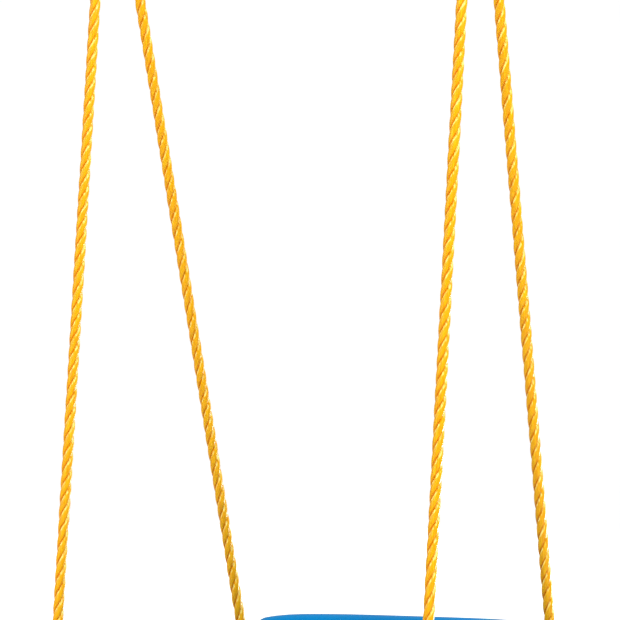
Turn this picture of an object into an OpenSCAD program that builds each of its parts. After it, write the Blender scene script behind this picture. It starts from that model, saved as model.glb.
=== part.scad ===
// Saucer nest swing: a moulded round dished seat with a raised back, hung on four twisted ropes.
// The ropes meet in pairs at a ring, and each ring hangs from a hanger by a snap hook.
// Origin: centre of the four bolt holes, on the face that meets the beam. +X along the beam,
// -Y the way the child faces, +Z up. Millimetres.

/* [Hangers] */
// Distance between the two hangers, along the beam
hanger_spacing = 450; // [440:5:460]
// Distance between the two bolt holes of one hanger
bolt_spacing = 60; // [58:1:64]
// Diameter of the bolt holes, for M8 screws
bolt_hole_d = 9; // [8.5:0.5:10]
// Thickness of the bracket's plate and cheeks
bracket_t = 5; // [4:0.5:5]
// Width of the bracket across its cheeks
bracket_w = 34; // [34:1:36]
// Distance from the beam down to the hinge pin
pin_drop = 28; // [26:1:30]
// Diameter of the hinge pin
pin_d = 10; // [9:0.5:10]
// Distance from the hinge pin down to the hook's hole in the link
link_l = 41; // [39:1:44]
// Thickness of the link
link_t = 6; // [5:0.5:6]

/* [Hook and ring] */
// Diameter of the steel wire of the hook and of the ring
wire_d = 8; // [7:0.5:8]
// Bend radius of the hook's two bows, to the middle of the wire
hook_r = 14; // [14:0.5:15]
// Straight length between the two bows of the hook
hook_straight = 46; // [44:1:50]
// Half the length of the ring's straight bar
ring_bar = 22; // [22:0.5:24]
// Height of the ring, to the middle of the wire
ring_h = 38; // [38:1:42]

/* [Ropes] */
// Diameter of the ropes
rope_d = 12; // [11:0.5:12]
// Distance between a side's two ropes where they cross the ring's bar
rope_gap = 27.4; // [26:0.2:28]
// Radius of a rope's eye, to the middle of the rope
eye_r = 24; // [24:0.5:26]
// Length of the crimped sleeve that closes the eye
sleeve_l = 32; // [28:1:34]

/* [Seat] */
// Drop from the ring's bar to the top edge of the back
back_drop = 841; // [800:1:900]
// Radius of the rim, to the middle of its rolled edge
rim_r = 268; // [262:1:274]
// How far the seat's middle stands in front of the line through the hangers
seat_ahead = 13; // [8:1:18]
// Height of the back above the sides of the rim
back_rise = 90; // [70:1:100]
// How much the middle of the back is flattened towards the seat's middle
back_flat = 35; // [20:1:40]
// Depth of the dish below the sides of the rim
dish_depth = 120; // [100:1:130]
// Half the width of the rolled edge
lip_r = 17; // [16:0.5:18]
// Height of the skirt below the roll
skirt_h = 28; // [24:1:32]
// Wall thickness of the moulding
wall = 5; // [4:0.5:6]
// Direction of the rear ropes' holes from the seat's middle, from +X
rear_az = 42; // [41:0.5:43]
// Direction of the front ropes' holes from the seat's middle, from +X
front_az = -32; // [-33:0.5:-31]
// How far below the top edge of the back the rear ropes enter the rim
rear_land = 9; // [8:0.5:10]
// Length of the bosses under the rim that take the ropes
boss_l = 34; // [30:1:36]

/* [Hidden] */

$fn = 48;
gap = 0.2; // between parts that rest on each other
fit = 0.05; // radial running clearance

// heights, from the beam down
pin_z = -pin_drop;
link_hole_z = pin_z - link_l;
link_hole_r = wire_d / 2 + 5;
hook_top_z = link_hole_z - 4.3;
bow_top_z = hook_top_z - hook_r;
bow_low_z = bow_top_z - hook_straight;
hook_low_z = bow_low_z - hook_r;
ring_top_z = hook_low_z + wire_d + gap;
bar_z = ring_top_z - ring_h;
back_z = bar_z - back_drop;
side_z = back_z - back_rise;
floor_z = side_z - dish_depth;

// hinge parts
cheek_in = bracket_w / 2 - bracket_t;
bush_r = 8;
bush_half = cheek_in - 2;
hex_m10 = 18.4; // across the corners
rivet_z = bow_low_z + 11;
rivet_r = 1.5;
gate_r = 3.75;
gate_top_z = bow_top_z - 6.5;
tongue_t = 3;

// ropes
rope_r = rope_d / 2;
leg = rope_r + 0.3; // from the middle of an eye to each of its two legs
thimble_t = 1.5;
thimble_in = eye_r - rope_r - 0.15 - thimble_t;
eye_s = thimble_in - wire_d / 2 - gap; // from the bar down to the middle of the eye
sleeve_s = 64; // from the bar down to the sleeve
EYE_SIDE = [[22.8, 21], [18.6, 35], [12.4, 49], [leg, sleeve_s]]; // out from the middle, down from the bar
TURN = [for (a = [0:30:180]) a];
ROPE_STEPS = [0.12, 0.28, 0.44, 0.6, 0.76, 0.9];

// seat
mid_r = lip_r - wall / 2; // radius of the roll, to the middle of the wall
side_start = -7; // the rim starts to rise here, in degrees from +X
back_start = 59; // and is level from here to the same angle on the other side
flat_half = 47.7; // half the angle over which the back is flattened
dish_power = 2.7;
dish_ref = 150; // at this radius the dish has the same height all round
swell = 3; // how much the roll widens round a rope hole
swell_half = 2.8; // half the angle over which it is full and level
swell_end = 6.4; // and where it has gone
lug_power = 14; // how quickly a lug fades down the dish
bush_hole_r = 10;
bush_bore_r = 7.2;
bush_flange_t = 4;
washer_t = 2;
knot_h = 38;
knot_r = 18;
tail_l = 30;
drain_r = 10;
HALF_AZ = [-90, -78, -66, -54, -46, -40.5, -38.4, -36.6, -34.8, -32, -29.2, -27.4, -25.6, -20, -10, 0, 10,
    18, 25, 31, 35.6, 37.4, 39.2, 42, 44.8, 46.6, 48.4, 52, 57, 63, 71, 80];
AZIMUTHS = concat(HALF_AZ, [90], [for (i = [len(HALF_AZ) - 1:-1:1]) 180 - HALF_AZ[i]]);

STEEL = [0.72, 0.73, 0.75];
ROPE = [0.98, 0.74, 0.12];
BLUE = [0.02, 0.5, 0.8];
BLACK = [0.12, 0.12, 0.13];

function unit(v) = v / norm(v);
function ease(t) = let (u = max(0, min(1, t))) u * u * u * (10 - 15 * u + 6 * u * u);
function fold_az(az) = az > 90 ? 180 - az : az;
function is_rear(az) = fold_az(az) > 0;
function hole_az(az) = is_rear(az) ? rear_az : front_az;
function landing_z(az) = is_rear(az) ? back_z - rear_land : side_z;
function near_hole(az) = 1 - ease((abs(fold_az(az) - hole_az(az)) - swell_half) / (swell_end - swell_half));

// height of the rim's crest, and radius of its middle, in each direction
function free_crest(az) = side_z + back_rise * ease((fold_az(az) - side_start) / (back_start - side_start));
function crest_z(az) = free_crest(az) + (landing_z(az) - free_crest(az)) * near_hole(az);
function crest_r(az) = rim_r - back_flat * pow(cos(90 * min(1, abs(az - 90) / flat_half)), 2);

// the wall's middle line in each direction, as [radius, height]; a lug shapes only the top of the dish
function dish_h(az) = free_crest(az) - mid_r - floor_z;
function dish_k(az) = dish_power + ln(dish_h(az) / (dish_depth - mid_r)) / ln((rim_r - mid_r) / dish_ref);
function wall_line(az) = let (
    rc = crest_r(az), ri = rc - mid_r, lug = swell * near_hole(az), a = mid_r + lug,
    h = dish_h(az), k = dish_k(az), zc = crest_z(az), lift = zc - free_crest(az)
) concat(
    [for (i = [0:9]) let (t = i / 9, r = drain_r + (ri - drain_r) * t, top = pow(t, lug_power))
        [r - lug * top, floor_z + h * pow(r / ri, k) + lift * top]],
    [for (an = [150:-30:0]) [rc + a * cos(an), zc - mid_r + mid_r * sin(an)]],
    [[rc + a + 0.8, zc - mid_r - skirt_h / 2], [rc + a + 1.5, zc - mid_r - skirt_h]]
);
function normal_at(P, i) = let (d = unit(P[min(i + 1, len(P) - 1)] - P[max(i - 1, 0)])) [-d[1], d[0]];
function wall_section(az) = let (P = wall_line(az), n = len(P)) concat(
    [for (i = [0:n - 1]) P[i] + normal_at(P, i) * wall / 2],
    [for (i = [n - 1:-1:0]) P[i] - normal_at(P, i) * wall / 2]
);

// rope geometry: one frame for each rope, with side -1 left or 1 right, and end -1 front or 1 rear
function hole_xy(side, end) = let (az = end > 0 ? rear_az : front_az)
    [side * rim_r * cos(az), rim_r * sin(az) - seat_ahead];
function land_z(end) = end > 0 ? back_z - rear_land : side_z;
function mouth(side, end) = [each hole_xy(side, end), land_z(end) + 6];
function rope_top(side, end) = [side * (hanger_spacing / 2 + leg), end * rope_gap / 2, bar_z];
function rope_dir(side, end) = unit(mouth(side, end) - rope_top(side, end));
function out_dir(side, end) = let (d = rope_dir(side, end)) unit([side, 0, 0] - side * d[0] * d);
function eye_at(side, end, w, s) =
    rope_top(side, end) + (w - leg) * out_dir(side, end) + s * rope_dir(side, end);
function eye_normal(side, end) = cross(out_dir(side, end), rope_dir(side, end));
function eye_turn(side, end) = concat(
    [for (i = [2:-1:0]) eye_at(side, end, -EYE_SIDE[i][0], EYE_SIDE[i][1])],
    [for (a = TURN) eye_at(side, end, -eye_r * cos(a), eye_s - eye_r * sin(a))],
    [for (i = [0:2]) eye_at(side, end, EYE_SIDE[i][0], EYE_SIDE[i][1])]
);
function rope_route(side, end) = let (
    start = eye_at(side, end, leg, sleeve_s + sleeve_l + 3), stop = mouth(side, end), h = hole_xy(side, end)
) concat(
    [eye_at(side, end, -leg, sleeve_s + sleeve_l + 3), eye_at(side, end, -leg, sleeve_s)],
    eye_turn(side, end),
    [eye_at(side, end, leg, sleeve_s), start],
    [for (f = ROPE_STEPS) start + f * (stop - start)],
    [stop, [each h, land_z(end) - 6], [each h, knot_top(end)]]
);
function knot_top(end) = land_z(end) - boss_l - bush_flange_t - washer_t - 2 * gap;

// a closed tube along the points P, with the outline sec of [towards the turn's middle, along n]
function ring_at(P, i, n, sec) = let (
    t = unit(P[min(i + 1, len(P) - 1)] - P[max(i - 1, 0)]), b = unit(n - (n * t) * t), c = cross(b, t)
) [for (q = sec) P[i] + q[0] * c + q[1] * b];

module sweep(P, n, sec) {
    k = len(sec);
    m = len(P);
    polyhedron(
        points = [for (i = [0:m - 1]) each ring_at(P, i, n, sec)],
        faces = concat(
            [for (j = [0:k / 2 - 2]) let (e = k - 1 - j) each [[j, j + 1, e], [j + 1, e - 1, e]]],
            [for (j = [0:k / 2 - 2]) let (o = (m - 1) * k, e = o + k - 1 - j)
                each [[e, o + j + 1, o + j], [e, e - 1, o + j + 1]]],
            [for (i = [0:m - 2], j = [0:k - 1]) let (a = i * k + j, b = i * k + (j + 1) % k)
                each [[a, a + k, b + k], [a, b + k, b]]]
        )
    );
}

module at_hanger(side) { translate([side * hanger_spacing / 2, 0, 0]) children(); }

module along_x(x0, x1, r, z = 0) {
    translate([x0, 0, z]) rotate([0, 90, 0]) cylinder(h = x1 - x0, r = r);
}

// a bent wire's bow in the XZ plane, over the top or under the bottom
module bow(r, wire_r, under = false) {
    mirror([0, 0, under ? 1 : 0]) rotate([90, 0, 0])
        rotate_extrude(angle = 180) translate([r, 0]) circle(r = wire_r);
}

module round_rect(w, l, r) {
    square([w - 2 * r, l], center = true);
    square([w, l - 2 * r], center = true);
    for (x = [-1, 1], y = [-1, 1]) translate([x * (w / 2 - r), y * (l / 2 - r)]) circle(r = r);
}

// ---- hangers ----

module hanger_bracket(side) {
    color(STEEL) at_hanger(side) difference() {
        union() {
            translate([0, 0, -bracket_t]) linear_extrude(bracket_t) round_rect(bracket_w, 96, 8);
            for (x = [-1, 1]) translate([x * (cheek_in + bracket_t / 2), 0, 0])
                rotate([90, 0, 90]) linear_extrude(bracket_t, center = true) {
                    translate([0, pin_z]) circle(r = 15);
                    polygon([[-23, -bracket_t / 2], [-15, pin_z], [15, pin_z], [23, -bracket_t / 2]]);
                }
        }
        along_x(-bracket_w, bracket_w, pin_d / 2 + fit, pin_z);
        for (y = [-1, 1]) translate([0, y * bolt_spacing / 2, -bracket_t - 1])
            cylinder(h = bracket_t + 2, d = bolt_hole_d);
    }
}

module hanger_pin(side) {
    color(STEEL) at_hanger(side) mirror([side > 0 ? 1 : 0, 0, 0]) {
        along_x(-bracket_w / 2 - 1, bracket_w / 2 + 11, pin_d / 2, pin_z);
        translate([-bracket_w / 2 - 6.6, 0, pin_z]) rotate([0, 90, 0])
            cylinder(h = 6.4, d = hex_m10, $fn = 6);
    }
}

module hanger_nut(side) {
    color(STEEL) at_hanger(side) mirror([side > 0 ? 1 : 0, 0, 0]) difference() {
        union() {
            translate([bracket_w / 2 + gap, 0, pin_z]) rotate([0, 90, 0])
                cylinder(h = 7, d = hex_m10, $fn = 6);
            along_x(bracket_w / 2 + 7, bracket_w / 2 + 9.5, 7.4, pin_z);
        }
        along_x(0, bracket_w, pin_d / 2 + fit, pin_z);
    }
}

module hanger_washers(side) {
    color("white") at_hanger(side) for (x = [-1, 1]) difference() {
        mirror([x < 0 ? 1 : 0, 0, 0]) along_x(bush_half + gap, cheek_in - 0.1, 11, pin_z);
        along_x(-bracket_w, bracket_w, pin_d / 2 + fit, pin_z);
    }
}

module hanger_bush(side) {
    color(BLACK) at_hanger(side) difference() {
        along_x(-bush_half, bush_half, bush_r, pin_z);
        along_x(-bracket_w, bracket_w, pin_d / 2 + fit, pin_z);
    }
}

module hanger_link(side) {
    color(STEEL) at_hanger(side) rotate([90, 0, 90]) linear_extrude(link_t, center = true) difference() {
        union() {
            translate([0, pin_z]) circle(r = 15);
            translate([0, link_hole_z]) circle(r = 17);
            polygon([[14, pin_z], [-14, pin_z], [-16, link_hole_z], [16, link_hole_z]]);
        }
        translate([0, pin_z]) circle(r = bush_r + 0.02);
        translate([0, link_hole_z]) circle(r = link_hole_r);
    }
}

// ---- snap hook, its gate, and the ring ----

module snap_hook(side) {
    r = wire_d / 2;
    color(STEEL) at_hanger(side) mirror([side > 0 ? 1 : 0, 0, 0]) difference() {
        union() {
            translate([0, 0, bow_top_z]) bow(hook_r, r);
            translate([0, 0, bow_low_z]) bow(hook_r, r, under = true);
            translate([-hook_r, 0, bow_low_z]) cylinder(h = hook_straight, r = r);
            translate([hook_r, 0, bow_top_z - 6]) cylinder(h = 6, r = r);
            translate([hook_r, 0, bow_low_z]) cylinder(h = 6, r = r);
            translate([hook_r - r, -tongue_t / 2, bow_low_z + 5])
                cube([wire_d, tongue_t, rivet_z - bow_low_z - 5]);
            translate([hook_r, 0, rivet_z]) rotate([90, 0, 0]) cylinder(h = tongue_t, r = r, center = true);
        }
        translate([hook_r, 0, rivet_z]) rotate([90, 0, 0]) cylinder(h = 20, r = rivet_r + fit, center = true);
    }
}

module snap_gate(side) {
    color(STEEL) at_hanger(side) mirror([side > 0 ? 1 : 0, 0, 0]) translate([hook_r, 0, 0]) difference() {
        union() {
            translate([0, 0, rivet_z]) cylinder(h = gate_top_z - rivet_z, r = gate_r);
            intersection() {
                translate([0, 0, rivet_z - 5]) cylinder(h = 6, r = gate_r);
                translate([0, 0, rivet_z]) rotate([90, 0, 0]) cylinder(h = 20, r = 4.2, center = true);
            }
        }
        translate([-10, -tongue_t / 2 - gap, rivet_z - 6]) cube([20, tongue_t + 2 * gap, 12]);
        translate([0, 0, rivet_z]) cylinder(h = 17, r = 1.6);
        translate([0, 0, rivet_z]) rotate([90, 0, 0]) cylinder(h = 20, r = rivet_r + fit, center = true);
    }
}

module gate_rivet(side) {
    color(STEEL) at_hanger(side) mirror([side > 0 ? 1 : 0, 0, 0]) translate([hook_r, 0, rivet_z])
        rotate([90, 0, 0]) {
            cylinder(h = 9, r = rivet_r, center = true);
            for (y = [-1, 1]) translate([0, 0, y * 4.3]) cylinder(h = 0.8, r = 2.5, center = true);
        }
}

module gate_spring(side) {
    color(STEEL) at_hanger(side) mirror([side > 0 ? 1 : 0, 0, 0]) translate([hook_r, 0, rivet_z + 6.4])
        rotate_extrude() translate([0.8, 0]) square([0.7, 10]);
}

module rope_ring(side) {
    r = wire_d / 2;
    top = ring_bar + 6;
    side_h = ring_h - 6 - top;
    color(STEEL) at_hanger(side) translate([0, 0, bar_z]) rotate([0, 0, 90]) {
        along_x(-ring_bar, ring_bar, r);
        for (x = [-1, 1]) mirror([x < 0 ? 1 : 0, 0, 0]) {
            translate([ring_bar, 0, 6]) rotate([90, 0, 0]) rotate([0, 0, -90])
                rotate_extrude(angle = 90) translate([6, 0]) circle(r = r);
            translate([top, 0, 6]) cylinder(h = side_h, r = r);
        }
        translate([0, 0, 6 + side_h]) bow(top, r);
    }
}

// ---- ropes and what closes their eyes ----

ROPE_SEC = [for (a = [0:36:324]) rope_r * [cos(a), sin(a)]];
THIMBLE_SEC = concat(
    [for (a = [-90:30:90]) (rope_r + 0.15 + thimble_t) * [cos(a), sin(a)]],
    [for (a = [90:-30:-90]) (rope_r + 0.15) * [cos(a), sin(a)]]
);

module rope(side, end) {
    color(ROPE) sweep(rope_route(side, end), eye_normal(side, end), ROPE_SEC);
}

module thimble(side, end) {
    color(STEEL) sweep(eye_turn(side, end), eye_normal(side, end), THIMBLE_SEC);
}

module rope_sleeve(side, end) {
    d = -rope_dir(side, end);
    u = out_dir(side, end);
    v = cross(d, u);
    p = eye_at(side, end, 0, sleeve_s + sleeve_l);
    color(STEEL) multmatrix([[u[0], v[0], d[0], p[0]], [u[1], v[1], d[1], p[1]], [u[2], v[2], d[2], p[2]]])
        linear_extrude(sleeve_l) difference() {
            union() {
                square([2 * leg, 2 * rope_r + 6], center = true);
                for (x = [-leg, leg]) translate([x, 0]) circle(r = rope_r + 3);
            }
            square([2 * leg, 2 * rope_r + 0.4], center = true);
            for (x = [-leg, leg]) translate([x, 0]) circle(r = rope_r + 0.2);
        }
}

// ---- seat ----

module at_hole(side, end) {
    h = hole_xy(side, end);
    translate([h[0], h[1], land_z(end)]) children();
}

module seat_wall() {
    S = [for (az = AZIMUTHS) wall_section(az)];
    n = len(AZIMUTHS);
    k = len(S[0]);
    polyhedron(
        points = [for (i = [0:n - 1]) each [for (q = S[i])
            [q[0] * cos(AZIMUTHS[i]), q[0] * sin(AZIMUTHS[i]) - seat_ahead, q[1]]]],
        faces = [for (i = [0:n - 1], j = [0:k - 1]) let (
            i2 = (i + 1) % n, j2 = (j + 1) % k, a = i * k + j, b = i * k + j2, c = i2 * k + j, d = i2 * k + j2
        ) each [[a, c, d], [a, d, b]]]
    );
}

module seat_shell() {
    color(BLUE) difference() {
        union() {
            seat_wall();
            for (side = [-1, 1], end = [-1, 1]) at_hole(side, end) translate([0, 0, -boss_l])
                cylinder(h = boss_l - 2, r = 14);
        }
        for (side = [-1, 1], end = [-1, 1]) at_hole(side, end) translate([0, 0, -boss_l - 20])
            cylinder(h = boss_l + 40, r = bush_hole_r + fit);
        for (a = [0:60:300]) translate([70 * cos(a), 70 * sin(a) - seat_ahead, floor_z - 20])
            cylinder(h = 50, r = 6);
    }
}

module rope_bush(side, end) {
    low = -boss_l - bush_flange_t;
    color(BLACK) at_hole(side, end) rotate_extrude() polygon([
        [bush_bore_r + 1.5, low], [14, low], [14, -boss_l], [bush_hole_r, -boss_l], [bush_hole_r, 1],
        [bush_hole_r - 0.8, 2], [bush_bore_r + 0.8, 2], [bush_bore_r, 0.6], [bush_bore_r, low + 1.5]
    ]);
}

module knot_washer(side, end) {
    color(STEEL) at_hole(side, end) translate([0, 0, -boss_l - bush_flange_t - washer_t - gap]) difference() {
        cylinder(h = washer_t, r = 14);
        translate([0, 0, -1]) cylinder(h = washer_t + 2, r = rope_r + 0.8);
    }
}

module knot(side, end) {
    h = hole_xy(side, end);
    color(ROPE) translate([h[0], h[1], knot_top(end)]) rotate_extrude() polygon([
        [0, 0], [8, 0], [knot_r - 3, -5], [knot_r, -12], [knot_r, -knot_h + 12], [knot_r - 3, -knot_h + 5],
        [10, -knot_h],
        [rope_r, -knot_h - 2], [rope_r, -knot_h - tail_l], [0, -knot_h - tail_l]
    ]);
}

hanger_bracket(-1);  // hanger_bracket_left
hanger_bracket(1);  // hanger_bracket_right
hanger_pin(-1);  // hanger_pin_left
hanger_pin(1);  // hanger_pin_right
hanger_nut(-1);  // hanger_nut_left
hanger_nut(1);  // hanger_nut_right
hanger_washers(-1);  // hanger_washers_left
hanger_washers(1);  // hanger_washers_right
hanger_link(-1);  // hanger_link_left
hanger_link(1);  // hanger_link_right
hanger_bush(-1);  // hanger_bush_left
hanger_bush(1);  // hanger_bush_right
snap_hook(-1);  // snap_hook_left
snap_hook(1);  // snap_hook_right
snap_gate(-1);  // snap_gate_left
snap_gate(1);  // snap_gate_right
gate_rivet(-1);  // gate_rivet_left
gate_rivet(1);  // gate_rivet_right
gate_spring(-1);  // gate_spring_left
gate_spring(1);  // gate_spring_right
rope_ring(-1);  // rope_ring_left
rope_ring(1);  // rope_ring_right
thimble(-1, -1);  // thimble_front_left
thimble(1, -1);  // thimble_front_right
thimble(-1, 1);  // thimble_rear_left
thimble(1, 1);  // thimble_rear_right
rope_sleeve(-1, -1);  // rope_sleeve_front_left
rope_sleeve(1, -1);  // rope_sleeve_front_right
rope_sleeve(-1, 1);  // rope_sleeve_rear_left
rope_sleeve(1, 1);  // rope_sleeve_rear_right
rope(-1, -1);  // rope_front_left
rope(1, -1);  // rope_front_right
rope(-1, 1);  // rope_rear_left
rope(1, 1);  // rope_rear_right
seat_shell();
rope_bush(-1, -1);  // rope_bush_front_left
rope_bush(1, -1);  // rope_bush_front_right
rope_bush(-1, 1);  // rope_bush_rear_left
rope_bush(1, 1);  // rope_bush_rear_right
knot_washer(-1, -1);  // knot_washer_front_left
knot_washer(1, -1);  // knot_washer_front_right
knot_washer(-1, 1);  // knot_washer_rear_left
knot_washer(1, 1);  // knot_washer_rear_right
knot(-1, -1);  // knot_front_left
knot(1, -1);  // knot_front_right
knot(-1, 1);  // knot_rear_left
knot(1, 1);  // knot_rear_right
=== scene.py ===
import bpy
import math
import numpy as np
from mathutils import Matrix


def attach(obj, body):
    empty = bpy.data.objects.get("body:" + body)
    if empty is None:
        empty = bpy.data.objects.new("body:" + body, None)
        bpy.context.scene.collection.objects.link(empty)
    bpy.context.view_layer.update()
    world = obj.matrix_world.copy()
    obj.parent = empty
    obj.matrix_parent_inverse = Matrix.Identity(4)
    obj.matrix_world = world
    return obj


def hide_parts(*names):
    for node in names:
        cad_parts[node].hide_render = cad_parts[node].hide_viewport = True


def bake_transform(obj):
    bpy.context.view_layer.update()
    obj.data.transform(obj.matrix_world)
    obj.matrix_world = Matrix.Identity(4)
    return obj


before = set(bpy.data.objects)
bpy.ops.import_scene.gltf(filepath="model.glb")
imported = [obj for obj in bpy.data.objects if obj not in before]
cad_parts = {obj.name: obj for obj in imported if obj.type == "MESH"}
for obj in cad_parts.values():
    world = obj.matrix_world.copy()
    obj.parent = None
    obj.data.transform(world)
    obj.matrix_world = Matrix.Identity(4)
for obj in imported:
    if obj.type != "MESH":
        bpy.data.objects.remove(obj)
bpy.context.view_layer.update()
scene = bpy.context.scene

# ---------------------------------------------------------------- sizes, in millimetres, as in the CAD source

MM = 0.001
# clearance between parts that meet
GAP = 0.2

# hangers: their distance, the bolt holes, the bracket, the hinge pin and its hexagons, the link
SPACING, BOLTS, BOLT_HOLE = 450.0, 60.0, 9.0
BRACKET_T, BRACKET_W, BRACKET_HALF, CORNER_R, CHEEK_R, CHEEK_TOP = 5.0, 34.0, 48.0, 8.0, 15.0, 23.0
PIN_DROP, PIN_D, HEX = 28.0, 10.0, 18.4
LINK_L, LINK_T, LINK_TOP_R, LINK_LOW_R, BUSH_R = 41.0, 6.0, 15.0, 17.0, 8.0

# hook, gate and ring: wire, bows, tongue, and the ring's bar, height and corners
WIRE, HOOK_R, HOOK_STRAIGHT, HOOK_DROP = 8.0, 14.0, 46.0, 4.3
TONGUE_R, RIVET_UP = 4.0, 11.0
RING_BAR, RING_H, RING_CORNER = 22.0, 38.0, 6.0

# ropes: diameter, distance of a side's two ropes on the bar, eye, sleeve, thimble
ROPE, ROPE_GAP, EYE_R, SLEEVE_L, SLEEVE_S = 12.0, 27.4, 24.0, 32.0, 64.0
THIMBLE_T, THIMBLE_GAP = 1.5, 0.15

# seat: rim, back, dish, rolled edge, skirt, and the directions where the ropes enter
BACK_DROP, RIM_R, AHEAD, RISE, FLAT, DEPTH = 841.0, 268.0, 13.0, 90.0, 35.0, 120.0
LIP_R, SKIRT, SKIRT_HIGH, SKIRT_LOW, WALL = 17.0, 28.0, 0.8, 0.7, 5.0
REAR_AZ, FRONT_AZ, REAR_LAND = 42.0, -32.0, 9.0
SIDE_START, BACK_START, FLAT_HALF, DISH_POWER, DISH_REF = -7.0, 59.0, 47.7, 2.7, 150.0
SWELL, SWELL_HALF, SWELL_END, LUG_POWER = 3.0, 2.8, 6.4, 14
DRAIN_R, DRAIN_RING, SMALL_DRAIN_R = 10.0, 70.0, 6.0
# bosses under the rim, and the bush and washer in each
BOSS_L, BOSS_R, BOSS_HOLE_R, FLANGE, WASHER_T = 34.0, 14.0, 10.05, 4.0, 2.0

PIN_Z = -PIN_DROP
LINK_HOLE_Z = PIN_Z - LINK_L
BOW_TOP = LINK_HOLE_Z - HOOK_DROP - HOOK_R
BOW_LOW = BOW_TOP - HOOK_STRAIGHT
BAR_Z = BOW_LOW - HOOK_R + WIRE + GAP - RING_H
BACK_Z = BAR_Z - BACK_DROP
SIDE_Z = BACK_Z - RISE
FLOOR_Z = SIDE_Z - DEPTH
RIVET_Z = BOW_LOW + RIVET_UP
CHEEK_IN = BRACKET_W / 2 - BRACKET_T
BUSH_HALF = CHEEK_IN - 2
MID = LIP_R - WALL / 2
ROPE_R = ROPE / 2
# half the distance between a rope's two parts in its sleeve
LEG = ROPE_R + 0.3
# an eye's middle, down its rope from the ring's bar, and its sides as [out, down] points
EYE_S = EYE_R - ROPE_R - THIMBLE_GAP - THIMBLE_T - WIRE / 2 - GAP
EYE_SIDE = [(22.8, 21), (18.6, 35), (12.4, 49), (LEG, SLEEVE_S)]
GROUND = FLOOR_Z - 380

# a rope's strands: their middle and radius, the half angle that shows, and the V groove between them
LOBE_AT, LOBE_R, LOBE_END, GROOVE, GROOVE_SIDE = 1.75, 4.25, 66.0, 0.8, 1.1
LOBE_L = 2 * math.radians(LOBE_END) * LOBE_R + 2 * GROOVE_SIDE
# points on a strand's outline, the length of the lay, and each strand's own stretch of the U coordinate
LOBE_N, LAY, STRAND_U = 9, 51.0, 40.0

SIDES = {"left": -1, "right": 1}
ENDS = {"front": -1, "rear": 1}
EACH_ROPE = [(sn, s, en, e) for sn, s in SIDES.items() for en, e in ENDS.items()]


def unit(v):
    v = np.asarray(v, float)
    return v / np.linalg.norm(v)


def circle(r, start=0.0, stop=360.0, n=48, c=(0.0, 0.0), last=True):
    """Points on an arc between two angles in degrees."""
    a = np.radians(np.linspace(start, stop, n, endpoint=last))
    return [(c[0] + r * math.cos(t), c[1] + r * math.sin(t)) for t in a]


def hole(r, n=40, c=(0.0, 0.0)):
    """A circle that runs backwards, as a hole in a plate's outline."""
    return circle(r, 0, 360, n, c, False)[::-1]


# ---------------------------------------------------------------- mesh helpers


def mesh_piece(name, verts, faces, mat, uv=None, sharp=35):
    """A mesh piece from points in millimetres. uv has one pair for each corner of each face."""
    me = bpy.data.meshes.new(name)
    me.from_pydata((np.asarray(verts, float) * MM).tolist(), [], [list(map(int, f)) for f in faces])
    me.update()
    if uv is not None:
        me.uv_layers.new(name="UVMap").data.foreach_set("uv", np.asarray(uv, np.float32).ravel())
    me.shade_smooth()
    if sharp:
        me.set_sharp_from_angle(angle=math.radians(sharp))
    ob = bpy.data.objects.new(name, me)
    scene.collection.objects.link(ob)
    me.materials.append(mat)
    return ob


class Build:
    """Gathers rings and caps into one mesh."""

    def __init__(self):
        self.v, self.f, self.uv = [], [], []

    def add(self, verts, faces, uv=None):
        n = sum(len(a) for a in self.v)
        self.v.append(np.asarray(verts, float))
        self.f += [[i + n for i in f] for f in faces]
        if uv is None:
            uv = [(0.0, 0.0)] * sum(len(f) for f in faces)
        self.uv += list(uv)

    def grid(self, rings, loop=False, vs=None):
        """Closed rings of equal length, with caps at both ends; loop joins the last to the first instead."""
        R = np.asarray(rings, float)
        m, k = R.shape[:2]
        us = np.linspace(0, 1, k + 1)
        vs = np.arange(m + 1, dtype=float) if vs is None else vs
        faces, uv = [], []
        for i in range(m if loop else m - 1):
            i2 = (i + 1) % m
            for j in range(k):
                j2 = (j + 1) % k
                faces.append([i * k + j, i * k + j2, i2 * k + j2, i2 * k + j])
                uv += [(us[j], vs[i]), (us[j + 1], vs[i]), (us[j + 1], vs[i + 1]), (us[j], vs[i + 1])]
        if not loop:
            faces.append(list(range(k))[::-1])
            faces.append([(m - 1) * k + j for j in range(k)])
            uv += [(0.5, vs[0])] * k + [(0.5, vs[m - 1])] * k
        self.add(R.reshape(-1, 3), faces, uv)

    def piece(self, name, mat, sharp=35):
        return mesh_piece(name, np.concatenate(self.v), self.f, mat, self.uv, sharp)


def place(pts, origin, axis):
    """Points given with their own Z along axis, moved to origin."""
    z = unit(axis)
    x = np.cross((0, 0, 1), z)
    x = np.array([1.0, 0, 0]) if np.linalg.norm(x) < 1e-6 else unit(x)
    return np.asarray(pts, float) @ np.array([x, np.cross(z, x), z]) + np.asarray(origin, float)


def lathe(b, profile, origin=(0, 0, 0), axis=(0, 0, 1), n=48, closed=False):
    """A turned solid from [radius, height] points; closed joins the last point to the first, for a ring."""
    rings = []
    for a in np.linspace(0, 2 * math.pi, n, endpoint=False):
        rings.append([[r * math.cos(a), r * math.sin(a), h] for r, h in profile])
    R = np.array(rings)
    pts = place(R.reshape(-1, 3), origin, axis)
    m, k = R.shape[:2]
    faces = []
    for i in range(m):
        i2 = (i + 1) % m
        for j in range(k if closed else k - 1):
            j2 = (j + 1) % k
            faces.append([i * k + j, i2 * k + j, i2 * k + j2, i * k + j2])
    if not closed:
        faces.append([i * k for i in range(m)][::-1])
        faces.append([i * k + k - 1 for i in range(m)])
    b.add(pts, faces)


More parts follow.
